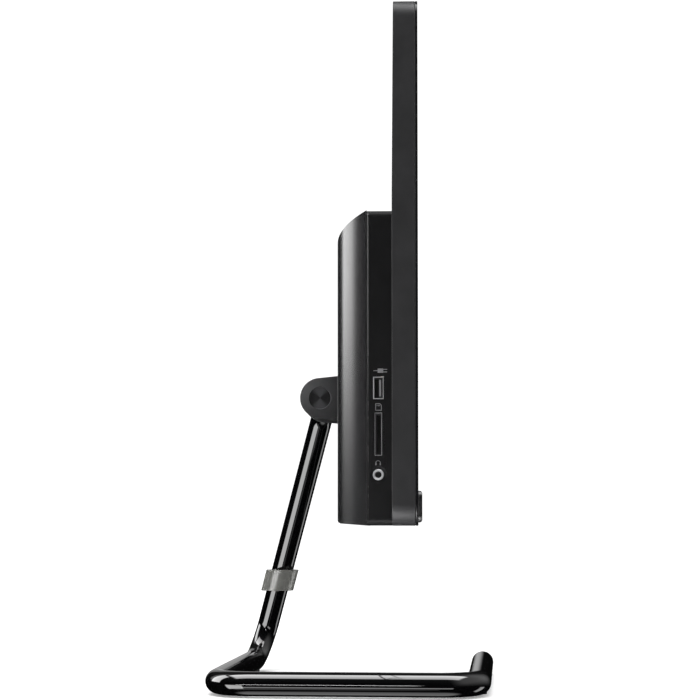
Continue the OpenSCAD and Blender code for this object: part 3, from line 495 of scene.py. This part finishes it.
def make_stand():
    """The bent tube, smooth from end to end. Its corners and bends repeat the CAD source's."""
    toe = math.radians(2.85)
    toe_x = Vector((math.cos(toe), -math.sin(toe), 0))
    toe_y = Vector((math.sin(toe), math.cos(toe), 0))
    radius, bore_radius = 7.6 * MM, 5.8 * MM
    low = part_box("stand_tube")[0].z + radius
    shoulder = Vector((27.6, 24.4, 190)) * MM
    heel = Vector((99 * MM, 76.1 * MM, low))
    rear_corner = heel - 223.4 * MM * toe_x
    front_corner = rear_corner - 164.1 * MM * toe_y
    free_end = front_corner + 190 * MM * toe_x
    start = Vector((-42, 24.4, 190)) * MM
    bends = [0, 22.5 * MM, 22 * MM, 24 * MM, 24 * MM, 0]
    line = bent_line([start, shoulder, heel, rear_corner, front_corner, free_end], bends)
    add_piece("tube_smooth", tube_mesh("tube_smooth", line, radius, bore_radius), "tube_gloss", "stand",
              ["stand_tube"])


def lathe(name, profile, centre, sides=96):
    """A closed profile of (radius, x) points, turned about an axis along X through centre."""
    points, faces = [], []
    for radius, x in profile:
        for k in range(sides):
            angle = 2 * math.pi * k / sides
            points.append((centre.x + x, centre.y + radius * math.cos(angle),
                           centre.z + radius * math.sin(angle)))
    count = len(profile)
    for i in range(count):
        j = (i + 1) % count
        for k in range(sides):
            n = (k + 1) % sides
            faces.append((i * sides + k, j * sides + k, j * sides + n, i * sides + n))
    return mesh_of(name, points, faces, sharp=28)


def make_cap():
    """The turned disc on the tilt axis: a rim, a groove and a shallow cone with fine rings."""
    low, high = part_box("hinge_cap")
    centre = (low + high) / 2
    face = low.x - centre.x - 0.35 * MM
    back = high.x - centre.x
    pole = 0.02 * MM
    rim = 7.5 * MM
    profile = [(pole, back), (rim, back), (rim, face + 0.45 * MM), (rim - 0.15 * MM, face + 0.2 * MM),
               (rim - 0.35 * MM, face + 0.2 * MM), (rim - 0.55 * MM, face + 0.5 * MM)]
    rings = 26
    for i in range(rings + 1):
        share = i / rings
        radius = (rim - 0.65 * MM) * (1 - share) + pole * share
        ripple = 0.010 * MM * (i % 2)
        profile.append((radius, face + (0.30 - 0.20 * share) * MM + ripple))
    add_piece("cap_disc", lathe("cap_disc", profile, centre), "spun_cap", "head", ["hinge_cap"])


def make_jack_ring():
    """The bright bush round the audio socket."""
    centre = Vector((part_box("audio_jack")[0].x, -17.1 * MM, 135.2 * MM))
    outer, inner = 3.18 * MM, 1.9 * MM
    front = -0.35 * MM
    profile = [(inner, 0.6 * MM), (outer, 0.6 * MM), (outer, front + 0.3 * MM), (outer - 0.3 * MM, front),
               (inner + 0.35 * MM, front), (inner, front + 0.35 * MM)]
    add_piece("jack_ring", lathe("jack_ring", profile, centre, 72), "nickel", "head")


def prisms(name, shapes, x, depth):
    """Flat shapes in the Y and Z plane, given as closed loops in millimetres, raised towards -X."""
    points, faces = [], []
    for shape in shapes:
        first, n = len(points), len(shape)
        points += [(x, y * MM, z * MM) for y, z in shape]
        points += [(x - depth, y * MM, z * MM) for y, z in shape]
        faces.append(tuple(range(first, first + n)))
        faces.append(tuple(range(first + 2 * n - 1, first + n - 1, -1)))
        for k in range(n):
            m = (k + 1) % n
            faces.append((first + k, first + n + k, first + n + m, first + m))
    return mesh_of(name, points, faces, smooth=False)


def bar(y0, z0, y1, z1):
    """A rectangle from its lower to its upper corner."""
    return [(y0, z0), (y1, z0), (y1, z1), (y0, z1)]


def stroke(points, width, closed=False):
    """Short bars along a line, each overlapping the next by a little."""
    shapes = []
    for (y0, z0), (y1, z1) in zip(points, points[1:] + points[:1] if closed else points[1:]):
        d = Vector((y1 - y0, z1 - z0)).normalized() * width / 2
        n = Vector((-d.y, d.x))
        a, b = Vector((y0, z0)) - d * 0.6, Vector((y1, z1)) + d * 0.6
        shapes.append([tuple(a - n), tuple(b - n), tuple(b + n), tuple(a + n)])
    return shapes


def make_marks():
    """Generic pictograms beside the side sockets: a plug, a card and headphones, in millimetres."""
    wall_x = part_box("housing_frame")[0].x + 0.02 * MM
    depth = 0.08 * MM
    line = 0.4
    plug_z = 195.4
    plug = stroke([(-16.6, plug_z), (-14.4, plug_z)], line) + [bar(-20.0, plug_z - 1.25, -16.8, plug_z + 1.25)]
    for prong_z in (plug_z - 0.75, plug_z + 0.75):
        plug.append(bar(-22.3, prong_z - 0.2, -19.9, prong_z + 0.2))
    card = stroke([(-15.6, 172.5), (-15.6, 176.3), (-18.0, 176.3), (-18.9, 175.4), (-18.9, 172.5)], line, True)
    for contact_y in (-16.4, -17.2, -18.0):
        card.append(bar(contact_y - 0.18, 174.8, contact_y + 0.18, 175.7))
    middle, base, bow = -17.0, 142.0, 1.35
    turns = [math.pi * k / 10 for k in range(11)]
    phones = stroke([(middle + bow * math.cos(t), base + bow * math.sin(t)) for t in turns], line)
    for ear_y in (middle - 1.25, middle + 1.25):
        phones.append(bar(ear_y - 0.35, base - 1.3, ear_y + 0.35, base + 0.1))
    for name, shapes in (("mark_plug", plug), ("mark_card", card), ("mark_headphones", phones)):
        add_piece(name, prisms(name, shapes, wall_x, depth), "mark", "head")


def hoop(y0, z0, y1, z1, widths):
    """Four bars round a rectangle: widths of the left (+Y), right, lower and upper bar."""
    left, right, lower, upper = widths
    return [bar(y1 - left, z0, y1, z1), bar(y0, z0, y0 + right, z1),
            bar(y0 + right, z0, y1 - left, z0 + lower), bar(y0 + right, z1 - upper, y1 - left, z1)]


def make_rims():
    """Bright lips of the side sockets and the face of the USB tongue, in millimetres."""
    wall_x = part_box("housing_frame")[0].x
    low, high = (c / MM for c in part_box("usb_side_port"))
    middle = (low.y + high.y) / 2
    usb_rim = hoop(low.y - 0.05, low.z, high.y, high.z, (0.6, 0.35, 0.45, 0.4))
    usb_rim.append(bar(low.y - 0.3, high.z - 0.2, low.y + 1.0, high.z + 0.35))
    tongue = [bar(middle - 1.7, low.z + 1.6, middle - 0.5, high.z - 1.6)]
    card_z = 158.7
    card_rim = hoop(middle - 2.15, card_z - 12.4, middle + 2.05, card_z + 12.4, (0.3, 0.4, 0.35, 0.35))
    for name, shapes, inward, depth, finish in (
            ("usb_rim", usb_rim, 0.3, 0.38, "nickel"), ("usb_tongue", tongue, 1.3, 0.5, "mark"),
            ("card_rim", card_rim, 0.4, 0.45, "mark")):
        mesh = prisms(name, shapes, wall_x + inward * MM, depth * MM)
        add_piece(name, mesh, finish, "head")


def make_seam():
    """Where the rear cover meets the band: a fine lip that catches the light, and the gap before it."""
    low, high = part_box("housing_frame")
    radius = 4 * MM

    def loop(out, y):
        """The band's rounded outline at depth y, moved outwards by out."""
        points = []
        for sx, z, first in ((1, high.z - radius, 0), (-1, high.z - radius, 90),
                             (-1, low.z + radius, 180), (1, low.z + radius, 270)):
            centre = Vector((sx * (high.x - radius), y, z))
            for k in range(7):
                angle = math.radians(first + 15 * k)
                points.append(centre + (radius + out) * Vector((math.cos(angle), 0, math.sin(angle))))
        return points

    def strip(name, section, finish):
        """A ring round the band, whose section is given as (outwards, towards the rear) in millimetres."""
        rows = [loop(out * MM, high.y + y * MM) for out, y in section]
        n, m = len(rows[0]), len(rows)
        faces = [(i * n + k, (i + 1) % m * n + k, (i + 1) % m * n + (k + 1) % n, i * n + (k + 1) % n)
                 for i in range(m) for k in range(n)]
        mesh = mesh_of(name, [point for row in rows for point in row], faces, sharp=25)
        add_piece(name, mesh, finish, "head")

    strip("seam_lip", [(-0.5, -0.95), (0.10, -0.95), (0.14, -0.85), (-0.70, -0.05), (-1.2, -0.05)], "lip")
    strip("seam_gap", [(-0.3, -1.5), (0.03, -1.5), (0.03, -0.95), (-0.3, -0.95)], "seam")


make_camera()
make_world()
make_stage()
dress_nodes()
make_stand()
make_cap()
make_jack_ring()
make_marks()
make_rims()
make_seam()

scene.view_settings.view_transform = "Standard"
scene.view_settings.look = "None"
